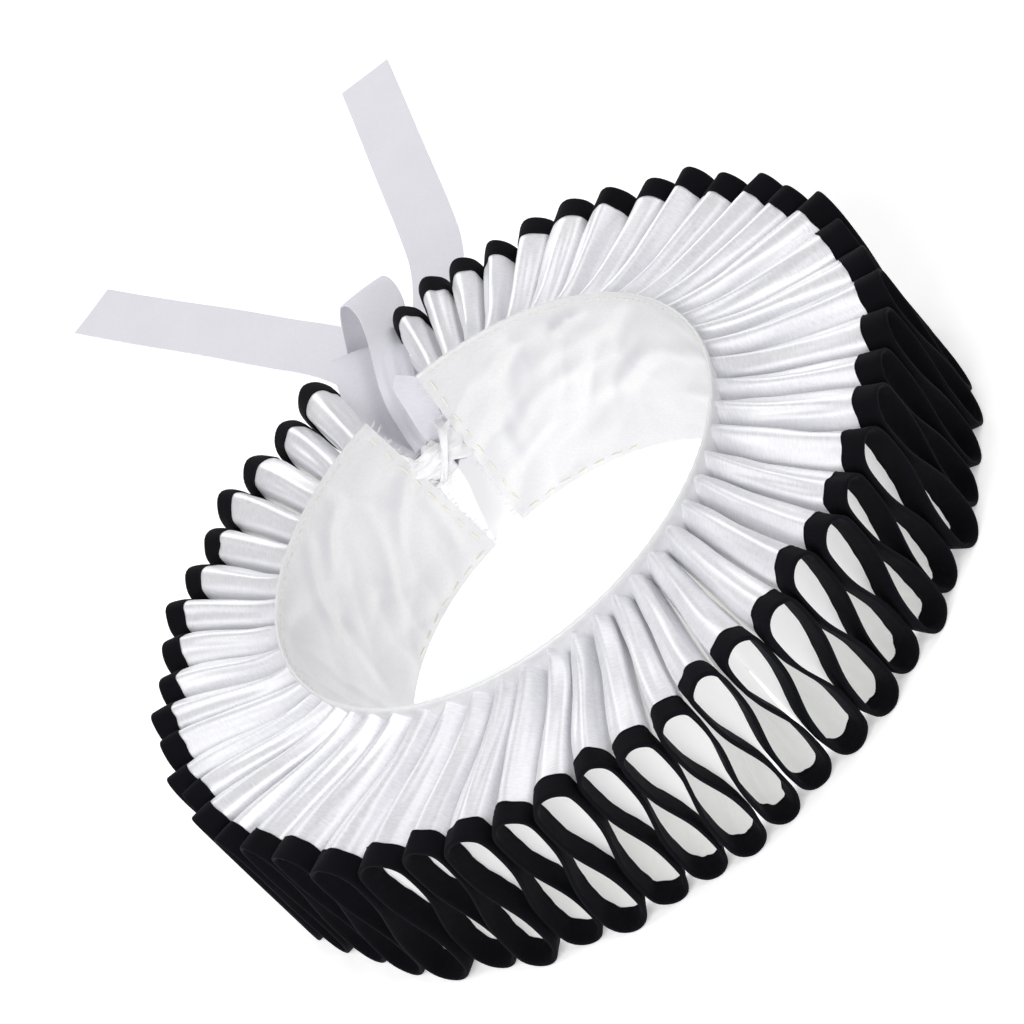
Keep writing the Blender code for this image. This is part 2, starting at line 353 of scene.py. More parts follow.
def fold_frame(along, out):
    """Points of the strip with its normal, up on a top fold, and the way out to the rim."""
    step = 0.0005
    point = fold_point(along, out)
    ahead = fold_point(along + step, out) - fold_point(along - step, out)
    outward = fold_point(along, out + step) - fold_point(along, out - step)
    normal = unit(np.cross(ahead, outward))
    return point, normal, unit(outward)


def crest_runs(pitch, bulge):
    """How far along the cloth a place beside a crest is, for steps of the place in pleats."""
    beside = np.linspace(0, 0.5, 101)
    across = pitch * (beside + bulge * np.sin(4 * math.pi * beside))
    down = RUFF_HEIGHT * 0.5 * (1 - np.cos(2 * math.pi * beside))
    steps = np.hypot(np.diff(across), np.diff(down))
    return beside, np.concatenate([[0.0], np.cumsum(steps)])


RIM_RUNS = crest_runs(2 * math.pi * RIM_RADIUS / PLEATS, BULGE)
SEAM_RUNS = crest_runs(2 * math.pi * BAND_TOP_RADIUS / PLEATS, SEAM_BULGE)


def crease_lift(along, out):
    """How far the creases raise or sink the cloth at those places."""
    along, out = np.broadcast_arrays(along, out)
    lift = np.zeros(along.shape)
    folds = np.round(2 * along)
    off = along - folds / 2
    run = mix(np.interp(np.abs(off), *SEAM_RUNS), np.interp(np.abs(off), *RIM_RUNS), out) * np.sign(off) / MM
    for fold in range(int(folds.min()), int(folds.max()) + 1):
        here = folds == fold
        side = -1 if fold % 3 == 0 else 1
        for number in FOLD_CREASES[fold % len(FOLD_CREASES)]:
            crease = dict(zip(CREASE_COLUMNS, CREASES[number]))
            fan = mix(SEAM_FAN, 1.0, out[here])
            middle = side * (crease["beside"] * fan - crease["lean"] * (1 - out[here]))
            across = (run[here] - middle) / (CREASE_WIDENED * crease["width"] * fan)
            shown = smooth_step(out[here], crease["starts"] - 0.10, crease["starts"] + 0.12)
            shown = shown * (1 - smooth_step(out[here], crease["ends"] - 0.25, crease["ends"] + 0.08))
            lift[here] += crease["depth"] * fan * shown * np.exp(-across ** 2)
    return WRINKLED * MM * lift * (1 - smooth_step(np.abs(run), *CREASE_FADES))


def gather_lift(along, out):
    """Small puckers that the gathering leaves near the seam."""
    run = along * PLEAT_CLOTH
    pucker = np.sin(run * 1.05 + 1.3 * np.sin(run * 0.23)) + 0.6 * np.sin(run * 0.61 + 2.0)
    return PUCKER * pucker * np.exp(-out * STRIP_WIDTH / PUCKER_REACH)


def cloth_frame(along, out):
    point, normal, outward = fold_frame(along, out)
    lift = crease_lift(along, out) + gather_lift(along, out)
    return point + normal * lift[..., None], normal, outward


# Meshes and materials.
SHARP_FROM = math.radians(55)


def shell(name, upper, under, lay, materials):
    """A closed thin piece of cloth between two grids of points.

    lay holds each point's place on the flat cloth, in metres, for the weave to follow. Its third
    value, where there is one, is from 0 to 1 how much of the material's painted tone shows: painted
    light in the depth of a fold, painted shade where a wrinkle leans back from the light. Of three
    materials the second, a copy with a stronger painted glow, is for where it is 1.
    """
    rows, columns = upper.shape[:2]
    count = rows * columns
    index = np.arange(count).reshape(rows, columns)
    quads = np.stack([index[:-1, :-1], index[1:, :-1], index[1:, 1:], index[:-1, 1:]], -1).reshape(-1, 4)
    edge = np.concatenate([index[0, :-1], index[:-1, -1], index[-1, :0:-1], index[:0:-1, 0]])
    following = np.roll(edge, -1)
    rim = np.stack([edge, following, following + count, edge + count], -1)
    faces = np.concatenate([quads, quads[:, ::-1] + count, rim])
    mesh = bpy.data.meshes.new(name)
    points = np.concatenate([upper.reshape(-1, 3), under.reshape(-1, 3)])
    mesh.from_pydata(points.tolist(), [], faces.tolist())
    slots = np.zeros(len(faces), dtype=np.int32)
    slots[len(quads):2 * len(quads)] = len(materials) - 1
    if len(materials) == 3:
        slots[:len(quads)] = lay[:-1, :-1, 2].ravel() > 0.999
    for material in materials:
        mesh.materials.append(material)
    mesh.polygons.foreach_set("material_index", slots)
    attribute = mesh.attributes.new("lay", "FLOAT_VECTOR", "POINT")
    flat = np.zeros((count * 2, 3), dtype=np.float32)
    flat[:, :lay.shape[2]] = np.concatenate([lay.reshape(count, -1)] * 2)
    attribute.data.foreach_set("vector", flat.ravel())
    mesh.shade_smooth()
    mesh.set_sharp_from_angle(angle=SHARP_FROM)
    mesh.update()
    piece = bpy.data.objects.new(name, mesh)
    bpy.context.scene.collection.objects.link(piece)
    return piece


def finish_piece(piece, slot, *nodes):
    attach(piece, "root")
    if nodes:
        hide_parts(*nodes)
    return piece


def colour(code):
    """An sRGB hex code as a linear colour with full alpha."""
    channels = [int(code[i:i + 2], 16) / 255 for i in (1, 3, 5)]
    linear = [c / 12.92 if c <= 0.04045 else ((c + 0.055) / 1.055) ** 2.4 for c in channels]
    return (*linear, 1.0)


def add_node(tree, kind, settings, inputs):
    """Adds a node with its settings, and its inputs set to values or linked from sockets."""
    node = tree.nodes.new(kind)
    for name, value in settings.items():
        setattr(node, name, value)
    for name, value in inputs.items():
        if isinstance(value, bpy.types.NodeSocket):
            tree.links.new(value, node.inputs[name])
        else:
            node.inputs[name].default_value = value
    return node


# Every cloth is a little lighter and darker in soft clouds of this size.
CLOUD_SIZE = 25 * MM


def cloth_material(name, shades, roughness, grain, relief, finish, painted_tone=None):
    """A woven cloth: two close shades mixed by uneven yarns, which also roughen the surface.

    grain is how long and how thick the yarns' streaks are, in metres along and across the cloth.
    finish holds the shader's constant values. The last argument is a colour of painted light and shade, shown
    fully where lay's third value is 1.
    """
    material = bpy.data.materials.new(name)
    material.use_nodes = True
    tree = material.node_tree
    shader = tree.nodes["Principled BSDF"]
    for socket, value in finish.items():
        shader.inputs[socket].default_value = value
    place = add_node(tree, "ShaderNodeAttribute", {"attribute_name": "lay"}, {})
    scale = (1 / grain[0], 1 / grain[1], 1.0)
    yarns_at = add_node(tree, "ShaderNodeMapping", {}, {"Vector": place.outputs["Vector"], "Scale": scale})
    yarns = add_node(
        tree, "ShaderNodeTexNoise", {},
        {"Vector": yarns_at.outputs["Vector"], "Scale": 1.0, "Detail": 3.0, "Roughness": 0.6})
    scale = (1 / CLOUD_SIZE, 1 / CLOUD_SIZE, 1.0)
    clouds_at = add_node(tree, "ShaderNodeMapping", {}, {"Vector": place.outputs["Vector"], "Scale": scale})
    clouds = add_node(
        tree, "ShaderNodeTexNoise", {},
        {"Vector": clouds_at.outputs["Vector"], "Scale": 1.0, "Detail": 2.0})
    both = add_node(tree, "ShaderNodeMath", {"operation": "MULTIPLY_ADD"}, {0: clouds.outputs["Fac"], 1: 0.5})
    tree.links.new(yarns.outputs["Fac"], both.inputs[2])
    tone = add_node(
        tree, "ShaderNodeMapRange", {},
        {"Value": both.outputs["Value"], "From Min": 0.45, "From Max": 1.05})
    tint = add_node(
        tree, "ShaderNodeMix", {"data_type": "RGBA"},
        {0: tone.outputs["Result"], 6: colour(shades[0]), 7: colour(shades[1])})
    gloss = add_node(
        tree, "ShaderNodeMapRange", {},
        {"Value": yarns.outputs["Fac"], "From Min": 0.3, "From Max": 0.7,
         "To Min": roughness[0], "To Max": roughness[1]})
    bump = add_node(
        tree, "ShaderNodeBump", {},
        {"Height": yarns.outputs["Fac"], "Distance": relief, "Strength": 1.0})
    # The colour gives way to a painted tone of light and shade, as far as lay's third value says.
    if painted_tone:
        depth = add_node(tree, "ShaderNodeSeparateXYZ", {}, {"Vector": place.outputs["Vector"]})
        tint = add_node(tree, "ShaderNodeMix", {"data_type": "RGBA"},
                        {0: depth.outputs["Z"], 6: tint.outputs[2], 7: colour(painted_tone)})
    tree.links.new(tint.outputs[2], shader.inputs["Base Color"])
    tree.links.new(gloss.outputs["Result"], shader.inputs["Roughness"])
    tree.links.new(bump.outputs["Normal"], shader.inputs["Normal"])
    return material


# Polyester satin, its glossy face: smooth floats give soft bright streaks that the weft breaks up.
SATIN_SHADES = ("#DADADF", "#F2F2F5")
SATIN_GLOSS = (0.42, 0.55)
SATIN_GRAIN = (2.6 * MM, 0.7 * MM)
# The face glows faintly all over, which is painted light. In the depth of the folds its colour gives way to a
# flat painted tint of the light there.
SATIN_FINISH = {"Specular IOR Level": 0.8, "IOR": 1.6, "Metallic": 0.34, "Emission Color": colour("#F8F8F8")}
satin_face = cloth_material(
    "Polyester satin face", SATIN_SHADES, SATIN_GLOSS, SATIN_GRAIN, 0.10 * MM,
    {**SATIN_FINISH, "Emission Strength": 0.04}, painted_tone="#E4E4E3")

# The same face in the depth of the folds, with a stronger glow: painted light for the light that comes
# through the thin cloth on both sides.
satin_painted_glow = cloth_material(
    "Polyester satin face in the folds, painted glow", SATIN_SHADES, SATIN_GLOSS, SATIN_GRAIN, 0.10 * MM,
    {**SATIN_FINISH, "Emission Strength": 0.20}, painted_tone="#E4E4E3")

# The satin's back: duller than its face, and a neutral white that glows in the loops, painted light for the
# light that comes through.
satin_back = cloth_material(
    "Polyester satin back", ("#E2E2E3", "#EEEEEE"), (0.50, 0.65), (1.2 * MM, 0.5 * MM), 0.06 * MM,
    {"Specular IOR Level": 0.4, "IOR": 1.5, "Emission Color": colour("#F9F9F8"), "Emission Strength": 0.23})

# Black cotton binding: matt, with a faint bluish bloom of loose fibres along its edges.
black_cotton = cloth_material(
    "Black cotton binding", ("#030306", "#0B0B13"), (0.80, 0.95), (0.7 * MM, 0.7 * MM), 0.15 * MM,
    {"Specular IOR Level": 0.12, "Sheen Weight": 0.02, "Sheen Roughness": 0.5,
     "Sheen Tint": colour("#A9ABC4")})

# White satin of the neckband: less blue than the ruff's, with a painted shade where a wrinkle leans back from
# the light.
band_satin = cloth_material(
    "White neckband satin", ("#E1E1E2", "#F1F1F1"), (0.48, 0.60), (1.4 * MM, 0.5 * MM), 0.06 * MM,
    {"Specular IOR Level": 0.8, "IOR": 1.55, "Metallic": 0.15}, painted_tone="#CECED3")

# Woven polyester ribbon of the ties: a fine matt rib across its width, faintly lilac.
tie_ribbon = cloth_material(
    "Woven tie ribbon", ("#DBDAE2", "#E5E4EB"), (0.55, 0.70), (0.6 * MM, 3 * MM), 0.05 * MM,
    {"Specular IOR Level": 0.5, "IOR": 1.5})

# Cotton sewing thread: unbleached, so it looks cream on the white cloth.
cream_thread = cloth_material(
    "Cream cotton thread", ("#E6E2D6", "#F3F0E7"), (0.60, 0.80), (0.4 * MM, 0.3 * MM), 0.05 * MM,
    {"Specular IOR Level": 0.3, "IOR": 1.5})

# The satin of the band's sewn ends, gathered into the knot: thin, so light comes through it, painted as a
# faint glow.
knot_satin = cloth_material(
    "White satin of the sewn ends", ("#DCDBDD", "#EEEDEE"), (0.45, 0.60), (1.2 * MM, 0.5 * MM), 0.06 * MM,
    {"Specular IOR Level": 0.8, "IOR": 1.55, "Emission Color": colour("#FBFBFB"), "Emission Strength": 0.08})

# Frayed yarns of the white cloth: pale single fibres that catch the light.
white_yarn = cloth_material(
    "Frayed white yarn", ("#ECECEE", "#F8F8F8"), (0.50, 0.70), (0.4 * MM, 0.3 * MM), 0.03 * MM,
    {"Specular IOR Level": 0.5, "IOR": 1.5})


# The satin strip and its binding.
def length_places(number, columns):
    """The places along one length of the strip, between cuts halfway up a fold's side."""
    first = round(number * PLEATS / LENGTHS) + HALFWAY_UP
    last = round((number + 1) * PLEATS / LENGTHS) + HALFWAY_UP
    if number == 0:
        first = STRIP_END
    if number == LENGTHS - 1:
        last = PLEATS - STRIP_END
    return np.linspace(first, last, round((last - first) * columns) + 1)


def run_of(points):
    steps = np.linalg.norm(np.diff(points, axis=0), axis=1)
    return np.concatenate([[0.0], np.cumsum(steps)])


def make_satin_length(number, run_start):
    along = length_places(number, SATIN_COLUMNS)[:, None]
    out = np.array(SATIN_ROWS)[None, :]
    point, normal, _ = cloth_frame(along, out)
    half = SATIN_THICK / 2 * (1 - 0.5 * smooth_step(out, *UNDER_BINDING))[..., None]
    run = run_start + run_of(point[:, -1])
    up = 0.5 * (1 - np.cos(2 * math.pi * along))
    # How deep in its fold each place lies: there the painted tint and the stronger painted glow show.
    painted_tone = np.where(up < DEPTH_BELOW, 1.0, 0.99 * (1 - smooth_step(up, *DEPTH_FADES)))
    lay = np.stack(np.broadcast_arrays(run[:, None], out * STRIP_WIDTH, painted_tone), -1)
    name = f"Ruff_Length_{number + 1:02d}"
    piece = shell(f"Satin_{number + 1:02d}", point + normal * half, point - normal * half, lay,
                  [satin_face, satin_painted_glow, satin_back])
    finish_piece(piece, "satin", name)
    return run


# The tape's section: how far in from the rim on its flat sides, in mm, and round its nose in
# degrees. It is pinched along its stitching line.
TAPE_STITCHED = 8.2
TAPE_PINCH = 0.80
TAPE_INSETS = (9.0, TAPE_STITCHED, 7.4, 4.6, 1.8)
TAPE_NOSE = (75, 38, 0, -38, -75)
TAPE_HALF = 0.72 * MM


def make_binding_length(number, run_start):
    along = length_places(number, TAPE_COLUMNS)
    run = run_start + run_of(cloth_frame(along, np.full(along.shape, SATIN_ROWS[-1]))[0])
    run_mm = run / MM
    edge_wave = 0.25 * np.sin(run_mm * 0.31 + 0.8 * np.sin(run_mm * 0.07)) + 0.15 * np.sin(run_mm * 0.83)
    puff = 1 + 0.10 * np.sin(run_mm * 0.42 + 1.1 * np.sin(run_mm * 0.11)) + 0.06 * np.sin(run_mm * 1.07)
    layers = []
    for half in (TAPE_HALF, TAPE_HALF - TAPE_THICK):
        places = []
        for side in (1, -1):
            insets = TAPE_INSETS if side == 1 else TAPE_INSETS[::-1]
            flat_side = []
            for inset in insets:
                wave = edge_wave * smooth_step(np.array(inset), 4.0, 9.0)
                out = 1 - (inset + wave) * MM / STRIP_WIDTH
                point, normal, _ = cloth_frame(along, out)
                pinch = TAPE_PINCH if inset == TAPE_STITCHED else 1.0
                swell = half * pinch * (puff if TAPE_INSETS[-1] < inset < TAPE_INSETS[0] else 1.0)
                flat_side.append(point + normal * side * np.broadcast_to(swell, along.shape)[:, None])
            places.append(flat_side)
        nose = []
        out = 1 - TAPE_HALF / STRIP_WIDTH
        point, normal, outward = cloth_frame(along, np.full(along.shape, out))
        for angle in np.radians(TAPE_NOSE):
            nose.append(point + half * (normal * math.sin(angle) + outward * math.cos(angle)))
        layers.append(np.stack(places[0] + nose + places[1], axis=1))
    across = run_of(layers[0][0])
    lay = np.stack(np.broadcast_arrays(run[:, None], across[None, :]), -1)
    name = f"Binding_Length_{number + 1:02d}"
    piece = shell(f"Binding_{number + 1:02d}", layers[0], layers[1], lay, [black_cotton])
    finish_piece(piece, "binding", name)


run_start = 0.0
for length_number in range(LENGTHS):
    length_run = make_satin_length(length_number, run_start)
    make_binding_length(length_number, run_start)
    run_start = length_run[-1]


# The neckband and its topstitching. Its levels are heights in mm, and closer at both edges.
BAND_COLUMNS = 380
BAND_ROUND = 520
BAND_HEM = 2.6
BAND_HALF = 0.58 * MM
BAND_EDGE = 0.9 * MM
BAND_LEVELS = (
    (0.3, 0.45, 0.8, 1.4, 2.2, 3.2) + tuple(np.linspace(5, 66.5, 40))
    + (67.6, 68.1, 68.6, 69.4, 70.1, 70.6, 70.9, 71.0))
CRUMPLED = 2.2 * MM
BAND_SINKS = 0.5 * MM
OUTER_MOVES = 0.2 * MM
HEM_PROUD = 0.14 * MM
EDGE_RIPPLE = 0.12 * MM


def band_turn(share, height):
    foot = mix(*BAND_ENDS["foot"], share)
    top = mix(*BAND_ENDS["top"], share)
    return mix(foot, top, (height - BAND_FOOT) / (BAND_HEIGHT - BAND_FOOT))


def wrinkle_lift(turn, height):
    """How far the band's wrinkles stand in from its plain wall."""
    lift = np.zeros(np.broadcast(turn, height).shape)
    for row in BAND_WRINKLES:
        wrinkle = dict(zip(WRINKLE_COLUMNS, row))
        beside = np.radians(turn - wrinkle["turn"]) * BAND_TOP_RADIUS / MM
        above = height / MM - wrinkle["height"]
        lean = math.radians(wrinkle["lean"])
        along = above * math.cos(lean) + beside * math.sin(lean)
        across = beside * math.cos(lean) - above * math.sin(lean) - wrinkle["bend"] * along ** 2
        fade = np.exp(-(2 * along / wrinkle["length"]) ** 4)
        lift += wrinkle["depth"] * MM * fade * np.exp(-(across / wrinkle["width"]) ** 2)
    return lift * smooth_step(BAND_HEIGHT - height, 1.5 * MM, 7 * MM) * smooth_step(height, 0.0, 5 * MM)


def band_crumple(turn, height):
    """The small soft facets of thin satin that has been handled, over the whole band."""
    around = np.radians(turn) * BAND_TOP_RADIUS / MM
    up = height / MM
    # The places are pushed about first, so that no two facets are alike.
    aside = around + 7 * np.sin(0.09 * up + 0.8 * np.sin(0.047 * around)) + 9 * np.sin(0.061 * around + 1.0)
    above = up + 7 * np.sin(0.053 * around + 0.9) + 4 * np.sin(0.11 * around + 0.08 * up)
    first = np.abs(np.sin(0.06 * aside + 0.13 * above))
    second = np.abs(np.sin(0.17 * above - 0.045 * aside + 1.0))
    third = np.abs(np.sin(0.15 * aside - 0.14 * above + 2.0))
    facets = 0.45 * first + 0.30 * second + 0.25 * third - 0.5
    patches = np.sin(0.043 * around + 1.3 * np.sin(0.07 * up + 0.021 * around))
    handled = 0.30 + 0.70 * (0.5 + 0.5 * patches) ** 2
    edges = smooth_step(BAND_HEIGHT - height, 1.5 * MM, 8 * MM) * smooth_step(height, 0.0, 6 * MM)
    return CRUMPLED * facets * handled * edges


def band_half(height):
    """Half the band's thickness: rounded at both edges, and thicker in the top hem."""
    from_edge = np.minimum(height - BAND_FOOT, BAND_HEIGHT - height)
    roll = np.sqrt(np.clip(1 - (1 - from_edge / BAND_EDGE).clip(0) ** 2, 0.0025, 1))
    hem_foot = BAND_HEIGHT / MM - BAND_HEM
    hem = HEM_PROUD * smooth_step(height / MM, hem_foot - 0.4, hem_foot + 0.4)
    return (BAND_HALF + hem) * roll


def band_surface(share, height, side):
    turn = band_turn(share, height)
    radius = band_radius(height) + side * band_half(height)
    wave = np.sin(turn * 1.9 + 0.8 * np.sin(turn * 0.37))
    ripple = EDGE_RIPPLE * wave * smooth_step(height, 60 * MM, BAND_HEIGHT)
    lift = wrinkle_lift(turn, height) + band_crumple(turn, height)
    # The wall stays round the ruff's sewn edge: its inner face hardly moves out, and its outer
    # face hardly moves at all.
    if side < 0:
        lift = np.maximum(lift, 0.0) + BAND_SINKS * np.tanh(np.minimum(lift, 0.0) / BAND_SINKS)
    else:
        lift = OUTER_MOVES * np.tanh(lift / OUTER_MOVES)
    return on_ring(turn, radius - lift + ripple, height, BAND_X)


def band_painted_shade(share, height):
    """How far each facet of the band leans back from the light, from 0 to 1: the painted shade that its
    colour takes there.
    """
    turn = band_turn(share, height)
    step = 1.0 * MM
    aside = np.degrees(step / BAND_TOP_RADIUS)
    near = wrinkle_lift(turn + aside, height - step) + band_crumple(turn + aside, height - step)
    far = wrinkle_lift(turn - aside, height + step) + band_crumple(turn - aside, height + step)
    return np.clip(0.25 + 1.5 * (near - far) / (2 * math.sqrt(2) * step), 0.0, 1.0)


def make_neckband():
    share = np.linspace(0, 1, BAND_COLUMNS + 1)[:, None]
    height = np.array(BAND_LEVELS)[None, :] * MM
    inner = band_surface(share, height, -1)
    outer = band_surface(share, height, 1)
    run = share * BAND_ROUND * MM
    # The third value of lay is the band's painted shade.
    lay = np.stack(np.broadcast_arrays(run, height, band_painted_shade(share, height)), -1)
    piece = shell("Neckband_Cloth", outer[:, ::-1], inner[:, ::-1], lay[:, ::-1], [band_satin])
    finish_piece(piece, "neckband", "Neckband")


make_neckband()


def thread(points, radius, sides=6):
    """A closed thread along the points: its ring points and faces, drawn in at both ends."""
    points = np.asarray(points, dtype=float)
    ahead = unit(np.gradient(points, axis=0))
    aside = unit(np.cross(ahead, np.array((0.31, 0.17, 0.93))))
    above = np.cross(ahead, aside)
    taper = np.ones(len(points))
    taper[[0, -1]] = 0.35
    angles = 2 * math.pi * np.arange(sides) / sides
    ring = np.cos(angles)[None, :, None] * aside[:, None] + np.sin(angles)[None, :, None] * above[:, None]
    rings = points[:, None] + radius * taper[:, None, None] * ring
    faces = []
    for row in range(len(points) - 1):
        for side in range(sides):
            near, far = row * sides, (row + 1) * sides
            nxt = (side + 1) % sides
            faces.append((near + side, near + nxt, far + nxt, far + side))
    faces.append(tuple(range(sides))[::-1])
    faces.append(tuple((len(points) - 1) * sides + side for side in range(sides)))
    return rings.reshape(-1, 3), faces


def joined_threads(name, threads, material):
    """One piece from many threads."""
    points, faces, first = [], [], 0
    for ring_points, ring_faces in threads:
        points.append(ring_points)
        faces += [tuple(first + corner for corner in face) for face in ring_faces]
        first += len(ring_points)
    points = np.concatenate(points)
    mesh = bpy.data.meshes.new(name)
    mesh.from_pydata(points.tolist(), [], faces)
    mesh.materials.append(material)
    attribute = mesh.attributes.new("lay", "FLOAT_VECTOR", "POINT")
    attribute.data.foreach_set("vector", points.astype(np.float32).ravel())
    mesh.shade_smooth()
    piece = bpy.data.objects.new(name, mesh)
    bpy.context.scene.collection.objects.link(piece)
    return piece


def on_band(share, height, proud):
    """A point just proud of the band's inner face."""
    point = band_surface(np.array(share), np.array(height), -1)
    centre = RING_PLACE + np.array((BAND_X, 0, 0))
    inward = centre - point
    inward[2] = 0
    return point + unit(inward) * proud


def stitch(start, end, radius):
    """One stitch between two places on the band, given as shares round it and heights."""
    points = []
    for step in np.linspace(0, 1, 7):
        proud = radius * (0.9 * math.sin(math.pi * step) ** 0.5 - 0.35)
        points.append(on_band(mix(start[0], end[0], step), mix(start[1], end[1], step), proud))
    return thread(points, radius)


# Hand stitches by the band's open ends, and a finer row under its top edge, in mm.
HAND_STITCH = {"length": 4.8, "gap": 3.0, "radius": 0.42}
TOP_STITCH = {"length": 2.4, "gap": 1.2, "radius": 0.24}
END_INSET = 3.2
FOOT_INSET = 2.6
FOOT_STITCHED = 62


def stitch_row(start, end, kind):
    """Stitches from one place on the band to another, each place a distance round and a height in mm."""
    start, end = np.array(start, dtype=float), np.array(end, dtype=float)
    whole = np.linalg.norm(end - start)
    pace = kind["length"] + kind["gap"]
    stitches = []
    for number in range(int(whole / pace)):
        wobble = 0.25 * math.sin(number * 2.4) if kind is HAND_STITCH else 0.0
        a = start + (end - start) * (number * pace + kind["gap"] / 2) / whole
        b = start + (end - start) * (number * pace + kind["gap"] / 2 + kind["length"]) / whole
        a, b = a + (wobble, -wobble), b - (wobble, -wobble)
        stitches.append(stitch(
            (a[0] / BAND_ROUND, a[1] * MM), (b[0] / BAND_ROUND, b[1] * MM), kind["radius"] * MM))
    return stitches


def make_stitching():
    top = BAND_HEIGHT / MM
    rows = []
    for near_end, foot_to in (
            (END_INSET, FOOT_STITCHED), (BAND_ROUND - END_INSET, BAND_ROUND - FOOT_STITCHED)):
        rows += stitch_row((near_end, top - 3.0), (near_end, FOOT_INSET), HAND_STITCH)
        rows += stitch_row((near_end, FOOT_INSET), (foot_to, FOOT_INSET), HAND_STITCH)
    rows += stitch_row((END_INSET, top - 2.0), (BAND_ROUND - END_INSET, top - 2.0), TOP_STITCH)
    finish_piece(joined_threads("Neckband_Stitches", rows, cream_thread), "neckband")


make_stitching()


YARN_RADIUS = 0.10 * MM


def loose_threads(root, away, count, length, spread, dice):
    """Frayed yarns that start near a root and bend away from it, in metres."""
    threads = []
    for _ in range(count):
        start = np.array(root) + np.array([dice.uniform(-1, 1) for _ in range(3)]) * spread
        way = unit(np.array(away, dtype=float) + np.array([dice.uniform(-0.8, 0.8) for _ in range(3)]))
        bend = np.array([dice.uniform(-0.7, 0.7) for _ in range(3)])
        reach = length * dice.uniform(0.5, 1.2)
        steps = np.linspace(0, 1, 6)[:, None]
        threads.append(thread(start + reach * (way * steps + bend * steps ** 2 * 0.6), YARN_RADIUS, 4))
    return threads


def make_fraying():
    """Yarns that stand out of the band's cut ends."""
    dice = random.Random(5)
    threads = []
    for share, side in ((0.0, -1), (1.0, 1)):
        for height in np.linspace(4, 68, 26):
            root = on_band(share, (height + dice.uniform(-1, 1)) * MM, 0.0)
            away = (side, -0.2, dice.uniform(-0.5, 0.5))
            threads += loose_threads(root, away, 3, 2.6 * MM, 0.4 * MM, dice)
    finish_piece(joined_threads("Neckband_Fraying", threads, white_yarn), "neckband")


make_fraying()


# The ties.
def smooth_rows(rows, steps):
    """The rows with more between them, on a smooth curve through all of them."""
    rows = np.array(rows, dtype=float)
    ends = np.concatenate([rows[:1], rows, rows[-1:]])
    a, b, c, d = ends[:-3], ends[1:-2], ends[2:-1], ends[3:]
    parts = []
    for t in np.arange(steps) / steps:
        square = (2 * a - 5 * b + 4 * c - d) * t ** 2
        cube = (3 * b - a - 3 * c + d) * t ** 3
        parts.append(0.5 * (2 * b + (c - a) * t + square + cube))
    return np.concatenate([np.stack(parts, 1).reshape(-1, rows.shape[1]), rows[-1:]])


def ribbon_frame(rows):
    """Fine sections of a ribbon: their middles, the way across, half widths and normals."""
    fine = smooth_rows(rows, RIBBON_FINE)
    centre = fine[:, :3] * MM
    half_width = fine[:, 3] / 2 * MM
    swing, tilt = np.radians(fine[:, 4]), np.radians(fine[:, 5])
    across = np.stack([np.cos(swing) * np.cos(tilt), np.sin(swing) * np.cos(tilt), np.sin(tilt)], -1)
    ahead = np.gradient(centre, axis=0)
    normal = unit(np.cross(across, ahead))
    return centre, across, half_width, normal


def make_tie(name, rows):
    centre, across, half_width, normal = ribbon_frame(rows)
    run = run_of(centre)
    share = np.linspace(-1, 1, RIBBON_COLUMNS_ACROSS + 1)
    # The ribbon cups a little across its width, and more where the knot gathers it.
    gathered = 1 - smooth_step(half_width, 8 * MM, 12.5 * MM)
    pleat = RIBBON_PLEAT * gathered[:, None] * np.cos(3 * math.pi * share)[None, :]
    cup = RIBBON_CUP * (share ** 2)[None, :] * np.sin(run * 55)[:, None]
    lift = pleat + cup
    width = half_width[:, None] * share[None, :]
    middle = centre[:, None] + across[:, None] * width[..., None] + normal[:, None] * lift[..., None]
    half = RIBBON_THICK / 2
    floor = half + 0.05 * MM
    middle = middle + RING_PLACE
    middle[..., 2] = np.maximum(middle[..., 2], floor)
    upper = middle + normal[:, None] * half
    under = middle - normal[:, None] * half
    lay = np.stack(np.broadcast_arrays(run[:, None], width), -1)
    piece = shell(f"{name}_Ribbon", upper, under, lay, [tie_ribbon])
    finish_piece(piece, "ribbon", name)


for tie_name, tie_rows in RIBBONS.items():
    make_tie(tie_name, tie_rows)


def gathered_strip(rows, pleats, depth, teeth=0.0):
    """A short gathered strip as two grids: rows of x, y, z, width, and the width's way x, y, z, in mm."""
    fine = smooth_rows(rows, 6)
    centre = fine[:, :3] * MM
    across = unit(fine[:, 4:7])
    ahead = unit(np.gradient(centre, axis=0))
    normal = unit(np.cross(across, ahead))
    share = np.linspace(-1, 1, 29)
    width = fine[:, 3:4] / 2 * MM * share
    run = np.linspace(0, 1, len(fine))[:, None]
    lift = depth * MM * np.sin(pleats * math.pi * share + 1.5 * np.sin(5 * run) + 0.7)
    lift = lift + 0.5 * depth * MM * np.sin(2.3 * pleats * share * (1 + 0.3 * run) + 9 * run)
    middle = centre[:, None] + across[:, None] * width[..., None] + normal[:, None] * lift[..., None]
    zigzag = teeth * MM * (np.abs((share * 7) % 1 - 0.5) * 2)
    middle[-1] = middle[-1] - ahead[-1] * zigzag[:, None]
    middle = middle + RING_PLACE
    lay = np.stack(np.broadcast_arrays(run * 20 * MM, width), -1)
    return middle + normal[:, None] * RIBBON_THICK / 2, middle - normal[:, None] * RIBBON_THICK / 2, lay


